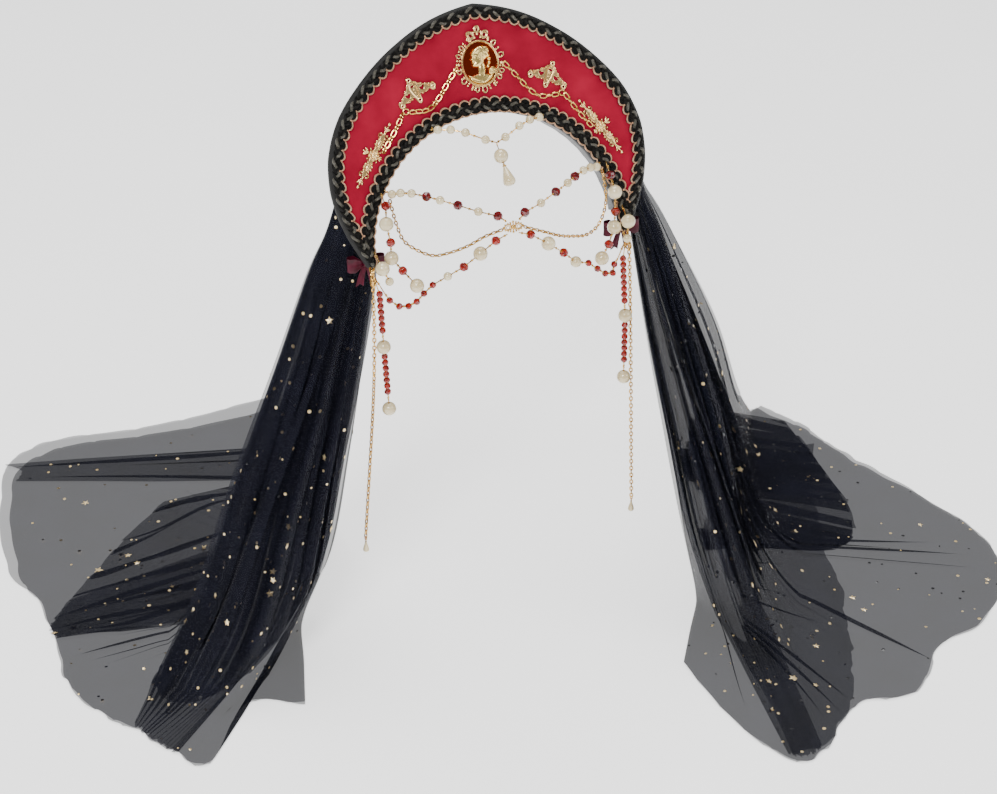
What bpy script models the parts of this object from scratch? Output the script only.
"""Veiled crown headband: a velvet crescent crown with braid, castings, bead strings and two veils.

The origin is the underside of the band at its top middle, where the crown sits on the hair. +Z is up
and the front of the crown faces -Y. Sizes are in millimetres and are scaled to metres as shapes are made.
"""

import math

import bmesh
import bpy
from mathutils import Matrix, Vector

MM = 0.001
GAP = 0.3

# Crown: a crescent in a plane that leans back, drawn as x across, t up the plane and n out of its front
LEAN_BACK = 21.5
ARCH_RADIUS = 88.0
PANEL_DEPTH = 5.0
BRAID_CLOTH = 1.3
BRAID_EDGE = 1.8
OUTER_BRAID_WIDTH = 9.5
INNER_BRAID_WIDTH = 10.3
BACK_LIP_WIDTH = 7.5
SCALLOP_PITCH = 7.0
SCALLOP_DEPTH = 1.6
TIP_ANGLE = 93.0
PANEL_END_ANGLE = 88.5
EDGE_STEPS = 30
ARCH_STEPS = 22
LIP_STEPS = 60
SLOT_STEPS = 16
# Cutting shapes reach this far past what they cut, and a slot ends this far past the panel, in degrees
CUT_PAST = 5.0
SLOT_PAST = 0.3

# Outer edge of the crown: angle from the top in degrees, distance from the arch's centre
OUTER_EDGE = (
    (0, 160.5),
    (11, 155.8),
    (22, 149.8),
    (35, 143.3),
    (47, 138.0),
    (58, 130.5),
    (67, 121.5),
    (75, 112.5),
    (82, 104.5),
    (88, 98.2),
    (93, 93.6),
)

BAND_THICKNESS = 2.5
BAND_DEPTH = 14.0
BAND_END_ANGLE = 84.0

# Castings lie on the velvet: where they stand across and up the crown, and how thick they are
CASTING_BASE = PANEL_DEPTH + GAP
CASTING_DEPTH = 1.8
CAMEO_UP = 34.0
CAMEO_OUTER = (14.6, 16.6)
CAMEO_OPENING = (10.8, 12.9)
CAMEO_LOOPS = 18
CAMEO_LOOP_WAVE = 1.8
CAMEO_STEPS = 16
# Loops over the cameo: x, height over its middle, how much thinner than the frame on each side
CAMEO_TOP_LOOPS = ((-4.6, 17.6, 0.15), (4.6, 17.6, 0.15), (0.0, 20.8, 0.3))
CAMEO_TOP_LOOP = (3.0, 3.2)
CAMEO_TOP_HOLE = (1.4, 1.5)
# The bust in relief: name, x and height of its middle from the cameo's, half sizes across, up and out
RELIEF_LIFT = 0.1
CAMEO_RELIEF = (
    ("shoulders", (0.0, -9.6), (9.2, 5.4, 1.9)),
    ("neck", (0.6, -3.0), (2.5, 4.4, 1.5)),
    ("head", (-0.6, 3.6), (4.2, 5.0, 2.2)),
    ("hair", (1.6, 5.8), (5.0, 5.2, 1.9)),
    ("rose", (6.8, -4.2), (2.5, 2.5, 1.9)),
)
CORNER_PLACE = (51.0, 26.9)
CORNER_TURN = 244.0
LONG_PLACE = (67.0, 0.5)
LONG_TURN = -55.0
LONG_MIDDLE = 24.2
LONG_FLOWER = (3.6, 3.6, 1.6)
# Chains on the velvet, from the cameo to the corner casting and on to the long one: across and up
PANEL_CHAIN_RADIUS = 1.4
PANEL_CHAIN_LIFT = 1.5
PANEL_CHAINS = {
    "inner": ((18.6, 31.0), (24.5, 22.0), (33.0, 11.5), (40.5, 6.4), (52.6, 6.2)),
    "outer": ((57.4, 6.0), (63.0, -3.0), (69.0, -11.5), (74.4, -18.2)),
}
CHAIN_STEPS = 2

# Bead kinds: radius, and the share of it that the bead's flat ends keep
PEARL_SMALL = ("pearl", 3.0)
PEARL_MIDDLE = ("pearl", 4.0)
PEARL_LARGE = ("pearl", 5.0)
GARNET = ("cut", 3.4)
RED = ("cut", 3.3)
RED_SMALL = ("cut", 2.5)
WIRE = ("wire", 0.0)
WIRE_RADIUS = 0.5
SHORT_WIRE = 2.6
BEAD_SIDES = 10
CHAIN_SIDES = 6

# Each bead string is a table of rows: kind of bead, then its middle as x, y and z
FOREHEAD_HALF = (
    (PEARL_SMALL, 7.0, -27.5, -8.0),
    (PEARL_SMALL, 19.0, -21.0, -4.0),
    (PEARL_SMALL, 28.0, -16.5, -2.5),
    (PEARL_SMALL, 36.0, -13.0, -3.0),
)
FOREHEAD_MIDDLE = (0.0, -30.0, -10.0)
FOREHEAD_END = (40.5, -9.5, -3.0)
# The drop under the middle of the forehead string: its hook, its pearl, its neck and its lower end
FOREHEAD_HOOK = (0.0, -31.0, -10.9)
FOREHEAD_PEARL = (0.5, -38.0, -16.5)
FOREHEAD_NECK = (1.0, -42.5, -20.6)
FOREHEAD_TIP = (2.5, -53.0, -32.0)
FOREHEAD_DROP_SCALE = 1.05
BROW_HALF = (
    (WIRE, 4.4, -64.95, -52.0),
    (GARNET, 9.5, -62.0, -48.5),
    (PEARL_SMALL, 22.0, -58.5, -45.0),
    (GARNET, 34.5, -53.0, -41.0),
    (PEARL_SMALL, 45.0, -47.0, -38.5),
    (GARNET, 52.5, -40.5, -37.5),
    (PEARL_SMALL, 61.0, -34.0, -37.0),
    (PEARL_SMALL, 67.5, -30.0, -37.5),
    (PEARL_SMALL, 73.0, -28.0, -38.5),
    (WIRE, 77.0, -22.8, -37.5),
)
GARLAND_LEFT = (
    (WIRE, -4.0, -66.0, -60.8),
    (RED, -11.5, -64.0, -65.5),
    (PEARL_LARGE, -21.5, -61.0, -75.0),
    (RED, -31.5, -55.5, -86.0),
    (PEARL_SMALL, -41.5, -50.5, -94.0),
    (RED_SMALL, -51.0, -46.5, -101.0),
    (RED_SMALL, -57.0, -45.5, -107.0),
    (RED_SMALL, -62.0, -44.5, -113.0),
    (RED_SMALL, -67.5, -43.5, -116.0),
    (RED_SMALL, -74.0, -43.0, -115.5),
    (RED_SMALL, -80.5, -42.5, -110.0),
    (WIRE, -84.9, -43.5, -102.0),
)
GARLAND_RIGHT = (
    (WIRE, 4.0, -66.0, -60.8),
    (RED, 13.0, -64.0, -64.5),
    (PEARL_LARGE, 27.0, -60.5, -75.0),
    (RED, 40.5, -54.0, -87.0),
    (PEARL_MIDDLE, 51.0, -50.0, -97.5),
    (RED_SMALL, 61.5, -47.0, -101.5),
    (RED_SMALL, 69.0, -45.0, -108.0),
    (RED_SMALL, 75.5, -43.5, -113.5),
    (RED_SMALL, 81.5, -42.5, -114.5),
    (RED_SMALL, 82.6, -42.0, -108.0),
    (WIRE, 84.9, -43.5, -102.5),
)
CLUSTER_LEFT = (
    (WIRE, -79.5, -22.8, -37.8),
    (GARNET, -78.5, -32.0, -44.5),
    (PEARL_LARGE, -79.5, -36.0, -56.0),
    (RED, -77.5, -38.0, -69.0),
    (PEARL_LARGE, -77.5, -39.5, -80.0),
    (RED, -71.0, -43.5, -88.5),
    (PEARL_LARGE, -62.5, -48.0, -99.0),
    (WIRE, -58.5, -48.2, -103.0),
)
CLUSTER_RIGHT = (
    (WIRE, 81.5, -23.0, -37.8),
    (GARNET, 81.5, -32.5, -44.0),
    (PEARL_LARGE, 83.5, -37.0, -55.0),
    (RED, 83.5, -38.5, -69.0),
    (PEARL_LARGE, 82.0, -41.5, -79.5),
    (RED, 77.5, -43.5, -91.0),
    (PEARL_LARGE, 71.5, -46.5, -99.5),
)
HANGING_LEFT = (
    (WIRE, -89.0, -37.5, -74.5),
    (PEARL_LARGE, -85.5, -45.5, -84.0),
    (PEARL_SMALL, -80.5, -44.0, -95.0),
)
HANGING_RIGHT = (
    (WIRE, 89.5, -34.2, -66.0),
    (PEARL_LARGE, 91.5, -43.5, -75.5),
    (PEARL_SMALL, 90.0, -46.5, -87.0),
)
# The pierced connector over the brow: its middle, its turn back from lying flat, its thickness and bead
BROW_PLACE = (0.0, -66.0, -56.0)
BROW_TURN = 80.0
BROW_HALF_THICK = 0.8
BROW_BEAD = (1.8, 1.8, 1.6)
# Swag chains from each temple to the brow ornament: x, y and z
SWAG_RADIUS = 1.2
SWAG_LEFT = (
    (-74.5, -27.5, -42.5),
    (-73.0, -30.5, -52.0),
    (-71.0, -33.0, -61.0),
    (-68.0, -36.5, -69.5),
    (-61.5, -42.0, -74.5),
    (-51.5, -49.0, -77.5),
    (-41.5, -54.5, -74.5),
    (-30.0, -60.0, -68.5),
    (-19.0, -63.5, -61.5),
    (-7.6, -66.0, -57.0),
)
SWAG_RIGHT = (
    (77.5, -27.0, -41.5),
    (79.0, -28.5, -52.0),
    (79.5, -30.5, -62.0),
    (77.0, -33.0, -72.0),
    (70.5, -38.0, -79.0),
    (60.0, -45.0, -80.5),
    (48.0, -52.0, -76.5),
    (36.0, -58.0, -71.5),
    (22.0, -63.0, -64.0),
    (7.6, -66.0, -57.0),
)
# A teardrop from its top to its bottom: share of its length, radius
DROP_PROFILE = ((0.0, 0.5), (0.25, 1.7), (0.5, 3.0), (0.75, 4.2), (0.92, 3.6), (1.0, 1.4))
# Each tip's long chain, from its hook to its teardrop, and the bead strand beside it: x, y and z
SIDE_CHAIN_RADIUS = 1.5
SIDE_DROP_LENGTH = 9.5
SIDE_DROP_SCALE = 0.55
SIDE_CHAIN_LEFT = (
    (-91.3, -38.6, -85.0),
    (-92.0, -44.0, -97.0),
    (-93.5, -42.0, -175.0),
    (-103.0, -40.0, -301.0),
)
SIDE_CHAIN_RIGHT = (
    (91.3, -38.6, -85.0),
    (93.0, -43.0, -97.0),
    (98.0, -40.0, -175.0),
    (104.0, -38.0, -309.0),
)
STRAND_RADIUS = 2.2
STRAND_STOP = 0.85
SIDE_STRAND_LEFT = ((-87.9, -44.0, -100.5), (-86.0, -44.0, -144.5), (-83.5, -44.0, -194.0))
SIDE_STRAND_RIGHT = ((87.9, -44.5, -100.5), (90.5, -46.0, -148.0), (91.0, -46.0, -198.0))

# A bow sits behind each tip of the crown: its knot, and half its depth from front to back
BOW_PLACE = (92.5, -28.0, -86.6)
BOW_HALF_DEPTH = 3.0

# Veils: each is gathered on a sewn line behind the crown, falls to a surface and spreads out on it
VEIL_CLOTH = 1.2
VEIL_GROUND = -400.0
VEIL_TOP_INNER = (99.5, -69.0)
VEIL_TOP_OUTER = (108.5, -46.0)
# One row for each ring across the cloth: share of the way to where it touches down, share of the fall,
# share of the way from there to the hem, depth of its folds, push to the back
VEIL_RINGS = (
    (0.00, 0.00, 0.00, 0.0, 0.0),
    (0.04, 0.07, 0.00, 0.8, 4.0),
    (0.12, 0.15, 0.00, 3.0, 6.0),
    (0.29, 0.34, 0.00, 7.0, 5.0),
    (0.52, 0.57, 0.00, 10.0, 3.0),
    (0.80, 0.85, 0.00, 11.0, 0.0),
    (1.00, 1.00, 0.14, 7.0, 0.0),
    (1.00, 1.00, 0.60, 6.0, 0.0),
    (1.00, 1.00, 1.00, 5.0, 0.0),
)
# Fold lines of each veil from its inner front edge round to its back: where it touches down, x and y,
# and where its hem lies, x and y
FOLDS_LEFT = (
    (-150, 10, -222, -75),
    (-175, -40, -246, -146),
    (-228, -84, -266, -114),
    (-262, -68, -284, -84),
    (-248, -36, -306, -60),
    (-230, 22, -330, -8),
    (-206, 68, -347, 74),
    (-182, 100, -348, 180),
    (-150, 118, -326, 300),
    (-98, 140, -205, 329),
)
FOLDS_RIGHT = (
    (162, -45, 138, -185),
    (168, -105, 142, -260),
    (180, -150, 158, -268),
    (200, -118, 190, -256),
    (216, -66, 258, -230),
    (236, -26, 342, -174),
    (246, 16, 402, -78),
    (252, 60, 385, 14),
    (278, 122, 362, 104),
    (308, 190, 318, 204),
)

CRIMSON = ("velvet", (0.52, 0.03, 0.05, 1.0), 0.85, 0.0)
BLACK_BRAID = ("black_braid", (0.012, 0.012, 0.012, 1.0), 0.6, 0.0)
BLACK_SATIN = ("black_satin", (0.01, 0.01, 0.012, 1.0), 0.45, 0.0)
GOLD = ("pale_gold", (0.83, 0.64, 0.32, 1.0), 0.3, 1.0)
PEARL = ("pearl", (0.9, 0.86, 0.78, 1.0), 0.25, 0.0)
RED_GLASS = ("red_glass", (0.5, 0.02, 0.01, 1.0), 0.1, 0.0)
BURGUNDY = ("burgundy_satin", (0.2, 0.01, 0.035, 1.0), 0.35, 0.0)
TULLE = ("black_tulle", (0.015, 0.015, 0.02, 1.0), 0.8, 0.0)

LEAN = Matrix.Rotation(math.radians(90.0 - LEAN_BACK), 4, "X")
materials = {}


def clear_scene():
    """Remove whatever the opened file holds."""
    for obj in list(bpy.data.objects):
        bpy.data.objects.remove(obj, do_unlink=True)


def new_collection(name):
    """Make a collection in the scene."""
    collection = bpy.data.collections.new(name)
    bpy.context.scene.collection.children.link(collection)
    return collection


def material(spec):
    """Return the Principled material of this name, colour, roughness and metallic value."""
    name, colour, roughness, metallic = spec
    if name not in materials:
        made = bpy.data.materials.new(name)
        made.use_nodes = True
        shader = made.node_tree.nodes["Principled BSDF"]
        shader.inputs["Base Color"].default_value = colour
        shader.inputs["Roughness"].default_value = roughness
        shader.inputs["Metallic"].default_value = metallic
        materials[name] = made
    return materials[name]


def add_object(name, mesh, spec, collection):
    """Wrap a mesh in a named object of the collection with its material."""
    obj = bpy.data.objects.new(name, mesh)
    mesh.materials.clear()
    mesh.materials.append(material(spec))
    collection.objects.link(obj)
    return obj


def on_crown(x, t, n):
    """Return the point x across, t up and n in front of the crown's plane, in millimetres."""
    return LEAN @ Vector((x, t, n))


def between(a, b, c, d, share):
    """Return the Catmull-Rom value at a share of the way from b to c, with a before and d after."""
    bend = (2 * a - 5 * b + 4 * c - d) * share**2 + (3 * b - a - 3 * c + d) * share**3
    return 0.5 * (2 * b + (c - a) * share + bend)


def smooth(points, steps):
    """Return a Catmull-Rom curve through the points with this many steps in each stretch."""
    knots = [Vector(p) for p in points]
    knots = [2 * knots[0] - knots[1]] + knots + [2 * knots[-1] - knots[-2]]
    curve = []
    for a, b, c, d in zip(knots, knots[1:], knots[2:], knots[3:]):
        curve += [between(a, b, c, d, step / steps) for step in range(steps)]
    curve.append(knots[-2])
    return curve


def mirrored(rows):
    """Return bead rows with x turned to the other side."""
    return tuple((kind, -x, y, z) for kind, x, y, z in rows)


def closed_mesh(curve_object):
    """Turn a curve object into a mesh with welded caps and outward faces, and remove the curve."""
    depsgraph = bpy.context.evaluated_depsgraph_get()
    mesh = bpy.data.meshes.new_from_object(curve_object.evaluated_get(depsgraph))
    work = bmesh.new()
    work.from_mesh(mesh)
    work.transform(curve_object.matrix_world)
    bmesh.ops.remove_doubles(work, verts=work.verts, dist=1e-6)
    bmesh.ops.recalc_face_normals(work, faces=work.faces)
    work.to_mesh(mesh)
    work.free()
    bpy.data.objects.remove(curve_object, do_unlink=True)
    return mesh


def tube(name, points, radii, sides, spec, collection):
    """Make a tube along points in millimetres, with a radius at each of them."""
    curve = bpy.data.curves.new(name, "CURVE")
    curve.dimensions = "3D"
    curve.bevel_depth = MM
    curve.bevel_resolution = sides // 2 - 2
    curve.use_fill_caps = True
    curve.twist_mode = "MINIMUM"
    spline = curve.splines.new("POLY")
    spline.points.add(len(points) - 1)
    for knot, point, radius in zip(spline.points, points, radii):
        knot.co = (*(Vector(point) * MM), 1.0)
        knot.radius = radius
    carrier = bpy.data.objects.new(name, curve)
    collection.objects.link(carrier)
    bpy.context.view_layer.update()
    obj = add_object(name, closed_mesh(carrier), spec, collection)
    obj.name = name
    obj.data.shade_smooth()
    obj.data.set_sharp_from_angle(angle=math.radians(50))
    return obj


def plate(name, outlines, low, high, spec, collection, frame=LEAN):
    """Extrude flat outlines in millimetres from low to high along the frame's third axis."""
    curve = bpy.data.curves.new(name, "CURVE")
    curve.dimensions = "2D"
    curve.fill_mode = "BOTH"
    curve.extrude = (high - low) / 2 * MM
    for outline in outlines:
        spline = curve.splines.new("POLY")
        spline.points.add(len(outline) - 1)
        spline.use_cyclic_u = True
        for knot, (x, y) in zip(spline.points, outline):
            knot.co = (x * MM, y * MM, 0.0, 1.0)
    carrier = bpy.data.objects.new(name, curve)
    carrier.matrix_world = frame @ Matrix.Translation((0.0, 0.0, (high + low) / 2 * MM))
    collection.objects.link(carrier)
    bpy.context.view_layer.update()
    obj = add_object(name, closed_mesh(carrier), spec, collection)
    obj.name = name
    return obj


def ellipsoid(name, centre, semi_axes, segments, rings, spec, collection, frame=LEAN):
    """Make an ellipsoid with its middle and half sizes in millimetres in the frame."""
    mesh = bpy.data.meshes.new(name)
    work = bmesh.new()
    bmesh.ops.create_uvsphere(work, u_segments=segments, v_segments=rings, radius=MM)
    place = frame @ Matrix.Translation(Vector(centre) * MM) @ Matrix.Diagonal((*semi_axes, 1.0))
    work.transform(place)
    work.to_mesh(mesh)
    work.free()
    return add_object(name, mesh, spec, collection)


def combine(target, tool, operation, cutters):
    """Join or cut the target with a tool object, which moves to the cutters and stays hidden."""
    for collection in list(tool.users_collection):
        collection.objects.unlink(tool)
    cutters.objects.link(tool)
    tool.hide_render = True
    tool.display_type = "WIRE"
    change = target.modifiers.new(tool.name, "BOOLEAN")
    change.operation = operation
    change.solver = "EXACT"
    change.object = tool


def edge_radius(angle):
    """Return the outer edge's distance from the arch's centre at an angle from the top."""
    turn = min(abs(angle), OUTER_EDGE[-1][0])
    angles = [row[0] for row in OUTER_EDGE]
    radii = [row[1] for row in OUTER_EDGE]
    radii = [2 * radii[0] - radii[1]] + radii + [2 * radii[-1] - radii[-2]]
    for i in range(len(angles) - 1):
        if turn <= angles[i + 1]:
            share = (turn - angles[i]) / (angles[i + 1] - angles[i])
            return between(*radii[i : i + 4], share)
    return radii[-2]


def inside_edge(angle, distance):
    """Return the radius of a line that runs this far inside the outer edge, measured square to it."""
    slope = (edge_radius(abs(angle) + 1.0) - edge_radius(abs(angle))) / math.radians(1.0) / edge_radius(angle)
    return edge_radius(angle) - distance * math.hypot(1.0, slope)


def seam_middle(angle):
    """Return the radius of the line where the two braids meet near the tips."""
    return (edge_radius(angle) + ARCH_RADIUS) / 2


def polar_line(radius_at, end_angle, steps):
    """Return points of the crown's plane along a radius function, from the left end to the right."""
    line = []
    for i in range(steps + 1):
        angle = -end_angle + 2 * end_angle * i / steps
        radius = radius_at(angle)
        turn = math.radians(angle)
        line.append((radius * math.sin(turn), radius * math.cos(turn) - ARCH_RADIUS))
    return line


def scalloped(line, toward_centre):
    """Return the line walked in half scallops, each second point pushed across it."""
    lengths = [math.dist(a, b) for a, b in zip(line, line[1:])]
    count = 2 * round(sum(lengths) / SCALLOP_PITCH)
    step = sum(lengths) / count
    points = []
    walked, piece = 0.0, 0
    for i in range(count + 1):
        while piece < len(lengths) - 1 and walked + lengths[piece] < i * step:
            walked += lengths[piece]
            piece += 1
        share = min(1.0, (i * step - walked) / lengths[piece])
        a, b = Vector(line[piece]), Vector(line[piece + 1])
        point = a.lerp(b, share)
        across = (Vector((0.0, -ARCH_RADIUS)) - point).normalized() * toward_centre
        push = SCALLOP_DEPTH if i % 2 else 0.0
        points.append(tuple(point + across * push))
    return points


def build_panel(parts):
    """Make the velvet-covered crescent core between the two folded braids."""
    edge = polar_line(lambda a: inside_edge(a, BRAID_EDGE + GAP), PANEL_END_ANGLE, EDGE_STEPS)
    arch = polar_line(lambda a: ARCH_RADIUS + BRAID_EDGE + GAP, PANEL_END_ANGLE, ARCH_STEPS)
    plate("crown_panel", [edge + arch[::-1]], 0.0, PANEL_DEPTH, CRIMSON, parts)


def build_head_band(parts):
    """Make the plain curved band behind the panel."""
    front = -GAP - BRAID_CLOTH - GAP
    outer = polar_line(lambda a: ARCH_RADIUS + BAND_THICKNESS, BAND_END_ANGLE, ARCH_STEPS)
    inner = polar_line(lambda a: ARCH_RADIUS, BAND_END_ANGLE, ARCH_STEPS)
    plate("head_band", [outer + inner[::-1]], front - BAND_DEPTH, front, BLACK_SATIN, parts)


def fold_braid(name, fold, lip, slot_lines, trim, steps, parts, cutters):
    """Make a braid folded over an edge: a strip with a slot for the panel and a narrower back lip."""
    low, high = -GAP - BRAID_CLOTH, PANEL_DEPTH + GAP + BRAID_CLOTH
    braid = plate(name, [fold + lip[::-1]], low, high, BLACK_BRAID, parts)
    near, far = slot_lines
    slot_end, shelf_end = PANEL_END_ANGLE + SLOT_PAST, TIP_ANGLE + 1.0
    slot = polar_line(near, slot_end, steps) + polar_line(far, slot_end, SLOT_STEPS)[::-1]
    slot_cutter = plate(f"{name}_slot", [slot], -GAP, PANEL_DEPTH + GAP, BLACK_BRAID, parts)
    combine(braid, slot_cutter, "DIFFERENCE", cutters)
    shelf = polar_line(trim, shelf_end, steps) + polar_line(far, shelf_end, SLOT_STEPS)[::-1]
    shelf_cutter = plate(f"{name}_shelf", [shelf], low - CUT_PAST, PANEL_DEPTH / 2, BLACK_BRAID, parts)
    combine(braid, shelf_cutter, "DIFFERENCE", cutters)


def build_braids(parts, cutters):
    """Make the two folded braids, which meet in a mitre at the tips."""

    def outer_lip(angle):
        lip = inside_edge(angle, OUTER_BRAID_WIDTH - SCALLOP_DEPTH)
        return max(lip, seam_middle(angle) + GAP + SCALLOP_DEPTH)

    def inner_lip(angle):
        return min(ARCH_RADIUS + INNER_BRAID_WIDTH - SCALLOP_DEPTH, seam_middle(angle) - GAP - SCALLOP_DEPTH)

    fold_braid(
        "outer_braid",
        polar_line(edge_radius, TIP_ANGLE, EDGE_STEPS),
        scalloped(polar_line(outer_lip, TIP_ANGLE - 1.0, LIP_STEPS), 1.0),
        (lambda a: inside_edge(a, BRAID_EDGE), lambda a: inside_edge(a, OUTER_BRAID_WIDTH + CUT_PAST)),
        lambda a: max(inside_edge(a, BACK_LIP_WIDTH), seam_middle(a) + GAP),
        EDGE_STEPS,
        parts,
        cutters,
    )
    fold_braid(
        "inner_braid",
        polar_line(lambda a: ARCH_RADIUS, TIP_ANGLE, ARCH_STEPS),
        scalloped(polar_line(inner_lip, TIP_ANGLE - 1.0, LIP_STEPS), -1.0),
        (lambda a: ARCH_RADIUS + BRAID_EDGE, lambda a: ARCH_RADIUS + INNER_BRAID_WIDTH + CUT_PAST),
        lambda a: min(ARCH_RADIUS + BACK_LIP_WIDTH, seam_middle(a) - GAP),
        ARCH_STEPS,
        parts,
        cutters,
    )


def oval(centre, semi_axes, count, wave=0.0):
    """Return the points of an oval, with each second point pushed out by the wave."""
    points = []
    for i in range(count):
        turn = 2 * math.pi * i / count
        wide, high = (axis + (wave if i % 2 else 0.0) for axis in semi_axes)
        points.append((centre[0] + wide * math.sin(turn), centre[1] + high * math.cos(turn)))
    return points


def build_cameo(parts, cutters):
    """Make the cameo: a looped oval frame, three top loops and a bust in relief, fused together."""
    top = CASTING_BASE + CASTING_DEPTH
    middle = (0.0, CAMEO_UP)
    loops = oval(middle, CAMEO_OUTER, 2 * CAMEO_LOOPS, CAMEO_LOOP_WAVE)
    opening = oval(middle, CAMEO_OPENING, CAMEO_STEPS)
    cameo = plate("cameo", [loops, opening], CASTING_BASE, top, GOLD, parts)
    for i, (x, t, inset) in enumerate(CAMEO_TOP_LOOPS):
        place = (x, CAMEO_UP + t)
        ring = [oval(place, CAMEO_TOP_LOOP, 8), oval(place, CAMEO_TOP_HOLE, 6)]
        loop = plate(f"cameo_loop_{i}", ring, CASTING_BASE + inset, top - inset, GOLD, parts)
        combine(cameo, loop, "UNION", cutters)
    for name, (x, t), semi_axes in CAMEO_RELIEF:
        centre = (x, CAMEO_UP + t, CASTING_BASE + semi_axes[2] + RELIEF_LIFT)
        combine(cameo, ellipsoid(f"cameo_{name}", centre, semi_axes, 8, 6, GOLD, parts), "UNION", cutters)


def place_outline(points, origin, turn, side):
    """Turn and move an outline that lies along its own x axis to its place on one side of the crown."""
    cos, sin = math.cos(math.radians(turn)), math.sin(math.radians(turn))
    return [(side * (origin[0] + p * cos - q * sin), origin[1] + p * sin + q * cos) for p, q in points]


def both_halves(half):
    """Return a closed outline from its upper half, mirrored about its own x axis."""
    lower = [(p, -q) for p, q in reversed(half) if q > 0.0]
    return list(half) + lower


def heart(p, q, size):
    """Return a heart-shaped opening that points along +p."""
    shape = ((1.0, 0.0), (0.1, 0.9), (-0.6, 0.8), (-0.35, 0.0), (-0.6, -0.8), (0.1, -0.9))
    return [(p + size * a, q + size * b) for a, b in shape]


def build_corner_filigree(side, label, parts):
    """Make a book-corner casting with its vertex loop, two arms and heart openings."""
    half = (
        (-2.0, 0.0),
        (-1.3, 1.5),
        (1.2, 1.8),
        (2.0, 3.3),
        (4.0, 4.4),
        (5.0, 6.7),
        (6.8, 7.6),
        (7.6, 10.2),
        (9.4, 11.6),
        (9.2, 13.6),
        (11.4, 14.6),
        (14.2, 13.2),
        (13.4, 10.8),
        (11.4, 9.8),
        (12.6, 7.4),
        (12.0, 4.6),
        (11.4, 2.6),
        (13.6, 2.0),
        (16.2, 1.4),
        (17.0, 0.0),
    )
    openings = [heart(8.2, 5.6, 2.0), heart(8.2, -5.6, 2.0), oval((-0.2, 0.0), (0.8, 0.8), 6)]
    openings += [oval((14.6, 0.0), (0.9, 0.9), 6), oval((4.6, 0.0), (1.3, 0.8), 6)]
    outlines = [place_outline(o, CORNER_PLACE, CORNER_TURN, side) for o in [both_halves(half)] + openings]
    top = CASTING_BASE + CASTING_DEPTH
    plate(f"corner_filigree_{label}", outlines, CASTING_BASE, top, GOLD, parts)


def build_long_filigree(side, label, parts, cutters):
    """Make a sprig casting: end buds, leaves and a middle flower with a raised centre."""
    half = (
        (-0.8, 0.0),
        (0.4, 1.0),
        (2.0, 0.7),
        (4.2, 3.0),
        (7.6, 1.6),
        (10.2, 3.6),
        (11.6, 1.5),
        (15.6, 3.2),
        (18.6, 1.9),
        (21.0, 4.0),
        (22.0, 7.2),
        (24.2, 5.2),
        (26.4, 7.2),
        (27.4, 4.0),
        (29.8, 1.9),
        (32.8, 3.2),
        (36.8, 1.5),
        (38.2, 3.6),
        (40.8, 1.6),
        (44.2, 3.0),
        (46.4, 0.7),
        (48.0, 1.0),
        (49.2, 0.0),
    )
    openings = [oval((p, 0.0), (1.5, 0.8), 6) for p in (15.4, 33.0)]
    outlines = [place_outline(o, LONG_PLACE, LONG_TURN, side) for o in [both_halves(half)] + openings]
    top = CASTING_BASE + CASTING_DEPTH
    name = f"long_filigree_{label}"
    sprig = plate(name, outlines, CASTING_BASE, top, GOLD, parts)
    x, t = place_outline([(LONG_MIDDLE, 0.0)], LONG_PLACE, LONG_TURN, side)[0]
    flower = ellipsoid(f"{name}_flower", (x, t, top), LONG_FLOWER, 8, 4, GOLD, parts)
    combine(sprig, flower, "UNION", cutters)


def chain(name, route, radius, parts):
    """Make a chain's tube along a smooth curve through the route."""
    points = smooth(route, CHAIN_STEPS)
    return tube(name, points, [radius] * len(points), CHAIN_SIDES, GOLD, parts)


def build_panel_chains(side, label, parts):
    """Make the chains from the cameo to the corner filigree and on to the long filigree."""
    lie = CASTING_BASE + PANEL_CHAIN_LIFT
    for part, route in PANEL_CHAINS.items():
        line = [on_crown(side * x, t, lie) for x, t in route]
        chain(f"panel_chain_{part}_{label}", line, PANEL_CHAIN_RADIUS, parts)


def bead_rings(kind, radius, start, middle, end):
    """Return the tube points and radii of one bead, from its first wire ring to its last."""
    along_in = (middle - start).normalized()
    along_out = (end - middle).normalized()
    shares = {
        "pearl": ((-1.0, 0.0), (-0.5, 0.92), (0.5, 0.92), (1.0, 0.0)),
        "cut": ((-0.95, 0.0), (0.0, 1.0), (0.95, 0.0)),
        "wire": ((0.0, 0.0),),
    }[kind]
    points = [middle + (along_in if share < 0 else along_out) * share * radius for share, _ in shares]
    radii = [max(WIRE_RADIUS, size * radius) for _, size in shares]
    return points, radii


def bead_string(name, rows, spec, parts):
    """Make beads on a wire as one turned tube, with a bead at each row of the table."""
    middles = [Vector(row[1:]) for row in rows]
    before = [2 * middles[0] - middles[1]] + middles[:-1]
    after = middles[1:] + [2 * middles[-1] - middles[-2]]
    points, radii = [], []
    for (kind, radius), start, middle, end in zip((row[0] for row in rows), before, middles, after):
        ring_points, ring_radii = bead_rings(kind, radius, start, middle, end)
        touching = bool(points) and (ring_points[0] - points[-1]).length < SHORT_WIRE
        points += ring_points[1:] if touching else ring_points
        radii += ring_radii[1:] if touching else ring_radii
    return tube(name, points, radii, BEAD_SIDES, spec, parts)


def drop_rings(top, bottom, scale):
    """Return the tube points and radii of a teardrop that hangs from top to bottom."""
    top, bottom = Vector(top), Vector(bottom)
    points = [top.lerp(bottom, share) for share, _ in DROP_PROFILE]
    return points, [max(WIRE_RADIUS, radius * scale) for _, radius in DROP_PROFILE]


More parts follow.
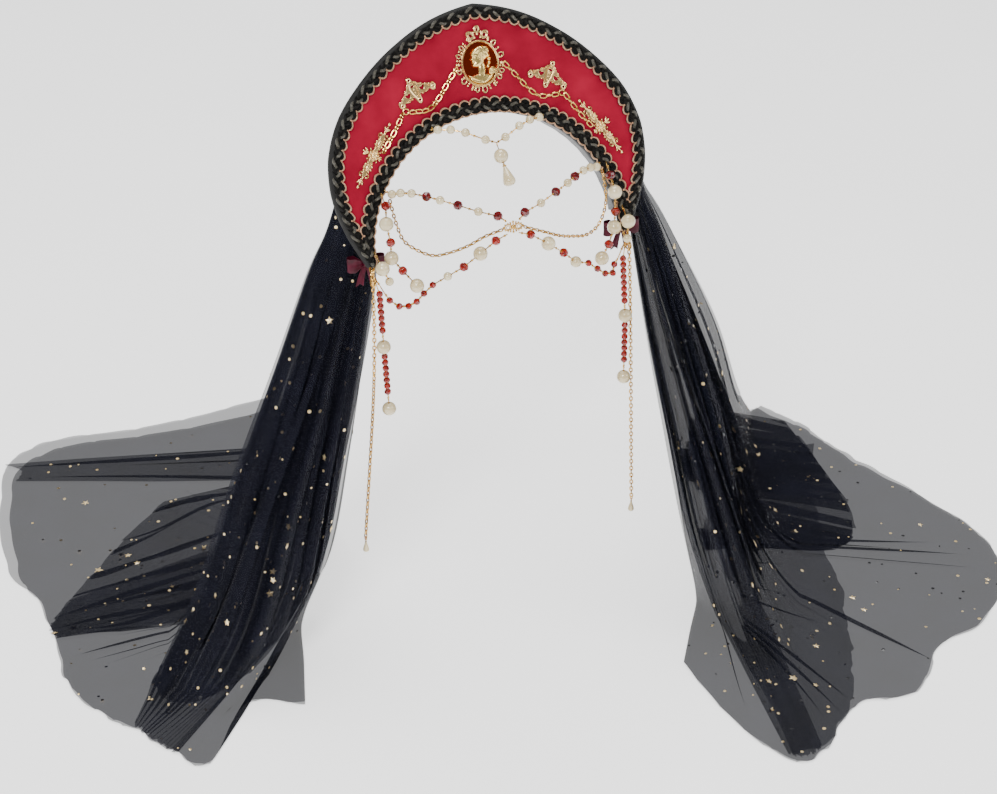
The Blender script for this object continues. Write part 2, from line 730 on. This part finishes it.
def build_forehead(parts):
    """Make the V of pearls over the forehead and the drop under its middle."""
    left = mirrored(FOREHEAD_HALF)[::-1]
    ends = [(WIRE, -FOREHEAD_END[0], *FOREHEAD_END[1:])], [(WIRE, *FOREHEAD_END)]
    rows = [*ends[0], *left, (WIRE, *FOREHEAD_MIDDLE), *FOREHEAD_HALF, *ends[1]]
    bead_string("forehead_string", rows, PEARL, parts)
    hook, neck = Vector(FOREHEAD_HOOK), Vector(FOREHEAD_NECK)
    points, radii = bead_rings("pearl", PEARL_LARGE[1], hook, Vector(FOREHEAD_PEARL), neck)
    drop_points, drop_radii = drop_rings(neck, FOREHEAD_TIP, FOREHEAD_DROP_SCALE)
    sizes = [WIRE_RADIUS, *radii, *drop_radii]
    tube("forehead_drop", [hook, *points, *drop_points], sizes, BEAD_SIDES, PEARL, parts)


def build_brow_ornament(parts, cutters):
    """Make the pierced connector in the middle of the brow."""
    place = Matrix.Translation(Vector(BROW_PLACE) * MM)
    frame = place @ Matrix.Rotation(math.radians(BROW_TURN), 4, "X")
    outline = [(7.0, 1.2), (4.2, 3.4), (1.6, 2.6), (0.0, 4.6)]
    quarter = outline + [(-x, y) for x, y in reversed(outline[:-1])]
    lobes = quarter + [(x, -y) for x, y in reversed(quarter)]
    openings = [oval((x, 0.0), (1.5, 1.3), 8) for x in (-3.6, 3.6)]
    half = BROW_HALF_THICK
    ornament = plate("brow_ornament", [lobes] + openings, -half, half, GOLD, parts, frame)
    centre = (0.0, 0.0, half / 2)
    bead = ellipsoid("brow_ornament_bead", centre, BROW_BEAD, 8, 4, GOLD, parts, frame)
    combine(ornament, bead, "UNION", cutters)


def build_brow(side, label, parts):
    """Make one side's brow string and the swag of chain below it."""
    rows = BROW_HALF if side > 0 else mirrored(BROW_HALF)
    bead_string(f"brow_string_{label}", rows, RED_GLASS, parts)
    chain(f"swag_chain_{label}", SWAG_RIGHT if side > 0 else SWAG_LEFT, SWAG_RADIUS, parts)


def build_side_chain(label, route, parts):
    """Make the long chain that hangs from a tip, with the teardrop at its end."""
    foot = Vector(route[-1])
    top = foot - Vector((0.0, 0.0, 2 * SIDE_CHAIN_RADIUS))
    points, radii = drop_rings(top, top - Vector((0.0, 0.0, SIDE_DROP_LENGTH)), SIDE_DROP_SCALE)
    sizes = [SIDE_CHAIN_RADIUS] * len(route) + radii
    tube(f"side_chain_{label}", [*route, *points], sizes, CHAIN_SIDES, GOLD, parts)


def build_side_strand(label, route, parts):
    """Make the strand of red beads beside the long chain, with a pearl at each stop of its route."""
    knots = [Vector(knot) for knot in route]
    points, radii = [knots[0]], [STRAND_RADIUS]
    for start, pearl in zip(knots, knots[1:]):
        points.append(start.lerp(pearl, STRAND_STOP))
        radii.append(STRAND_RADIUS)
        ring_points, ring_radii = bead_rings("pearl", PEARL_LARGE[1], start, pearl, 2 * pearl - start)
        points += ring_points
        radii += ring_radii
    tube(f"side_strand_{label}", points, radii, BEAD_SIDES, RED_GLASS, parts)


def build_bow(side, label, parts, cutters):
    """Make a satin bow behind a tip of the crown: two ribbon loops pinched to a knot, with two tails."""
    plan = Matrix.Translation(Vector((side * BOW_PLACE[0], *BOW_PLACE[1:])) * MM)
    deep = BOW_HALF_DEPTH
    outer = [(0.0, 1.2), (8.0, deep), (11.5, 2.4), (13.0, 0.0), (11.5, -2.4), (8.0, -deep)]
    outline = outer + [(-x, -y) for x, y in outer]
    hollow = deep - 1.0
    hole = [(3.6, 0.4), (3.6, -0.4), (8.0, -hollow), (10.8, -1.4), (12.0, 0.0), (10.8, 1.4), (8.0, hollow)]
    bow = plate(f"bow_{label}", [outline, hole, [(-x, y) for x, y in hole]], -6.0, 6.0, BURGUNDY, parts, plan)
    front = plan @ Matrix.Rotation(math.radians(90.0), 4, "X")
    tie = [(2.2, 2.0), (8.0, 4.2), (14.0, 3.9), (14.0, -3.9), (8.0, -4.2), (2.2, -2.0)]
    pinch = plate(f"bow_{label}_pinch", [tie + [(-x, -y) for x, y in tie]], -7.0, 7.0, BURGUNDY, parts, front)
    combine(bow, pinch, "INTERSECT", cutters)
    tail = [(-1.6, 0.5), (1.6, 0.5), (6.6, -16.0), (4.6, -14.6), (2.2, -17.0), (0.0, -6.5)]
    tails = tail + [(-2.4, -16.6), (-4.8, -14.2), (-6.8, -15.4)]
    combine(bow, plate(f"bow_{label}_tails", [tails], -0.5, 0.6, BURGUNDY, parts, front), "UNION", cutters)
    size = (2.7, deep - 0.2, 2.8)
    knot = ellipsoid(f"bow_{label}_knot", (0.0, 0.0, 0.0), size, 8, 5, BURGUNDY, parts, plan)
    combine(bow, knot, "UNION", cutters)


def veil_point(top, fold_line, ring, lift):
    """Return a point of the veil on one fold line, where it crosses one of the rings."""
    across, fall, lie, depth, back = ring
    foot = Vector((fold_line[0], fold_line[1], VEIL_GROUND + VEIL_CLOTH))
    hem = Vector((fold_line[2], fold_line[3], foot.z))
    point = top.lerp(foot, across).lerp(hem, lie)
    point.z = top.z + (foot.z - top.z) * fall
    point.y += back
    lying = fall**6
    push = lift * (1.0 - lying) + Vector((0.0, 0.0, lying))
    return point + push * depth


def build_veil(side, label, folds, parts):
    """Make one veil as a folded sheet from its sewn line to its hem, then give it thickness."""
    behind = -GAP - BRAID_CLOTH - GAP - VEIL_CLOTH / 2
    inner = on_crown(side * VEIL_TOP_INNER[0], VEIL_TOP_INNER[1], behind)
    outer = on_crown(side * VEIL_TOP_OUTER[0], VEIL_TOP_OUTER[1], behind)
    feet = smooth([(row[0], row[1], 0.0) for row in folds], 2)
    hems = smooth([(row[2], row[3], 0.0) for row in folds], 2)
    middle = sum(feet, Vector()) / len(feet)
    columns = len(feet)
    work = bmesh.new()
    grid = []
    for ring in VEIL_RINGS:
        row = []
        for i, (foot, hem) in enumerate(zip(feet, hems)):
            top = inner.lerp(outer, i / (columns - 1))
            lift = (foot - middle).normalized()
            valley = (*ring[:3], 0.0, ring[4])
            point = veil_point(top, (foot.x, foot.y, hem.x, hem.y), ring if i % 2 else valley, lift)
            row.append(work.verts.new(point * MM))
        grid.append(row)
    for upper, lower in zip(grid, grid[1:]):
        for i in range(columns - 1):
            work.faces.new((upper[i], lower[i], lower[i + 1], upper[i + 1]))
    bmesh.ops.recalc_face_normals(work, faces=work.faces)
    mesh = bpy.data.meshes.new(f"veil_{label}")
    work.to_mesh(mesh)
    work.free()
    veil = add_object(f"veil_{label}", mesh, TULLE, parts)
    wall = veil.modifiers.new("cloth", "SOLIDIFY")
    wall.thickness = VEIL_CLOTH * MM
    wall.offset = 0.0
    veil.data.shade_smooth()


def main():
    """Build every piece of the headband."""
    clear_scene()
    parts = new_collection("veiled_crown_headband")
    cutters = new_collection("cutters")
    build_panel(parts)
    build_head_band(parts)
    build_braids(parts, cutters)
    build_cameo(parts, cutters)
    build_forehead(parts)
    build_brow_ornament(parts, cutters)
    for side, label in ((-1, "left"), (1, "right")):
        build_corner_filigree(side, label, parts)
        build_long_filigree(side, label, parts, cutters)
        build_panel_chains(side, label, parts)
        build_brow(side, label, parts)
        build_bow(side, label, parts, cutters)
    bead_string("garland_left", GARLAND_LEFT, RED_GLASS, parts)
    bead_string("garland_right", GARLAND_RIGHT, RED_GLASS, parts)
    bead_string("temple_cluster_left", CLUSTER_LEFT, PEARL, parts)
    bead_string("temple_cluster_right", CLUSTER_RIGHT, PEARL, parts)
    bead_string("cluster_drop_left", HANGING_LEFT, PEARL, parts)
    bead_string("cluster_drop_right", HANGING_RIGHT, PEARL, parts)
    build_side_chain("left", SIDE_CHAIN_LEFT, parts)
    build_side_chain("right", SIDE_CHAIN_RIGHT, parts)
    build_side_strand("left", SIDE_STRAND_LEFT, parts)
    build_side_strand("right", SIDE_STRAND_RIGHT, parts)
    build_veil(-1, "left", FOLDS_LEFT, parts)
    build_veil(1, "right", FOLDS_RIGHT, parts)


main()
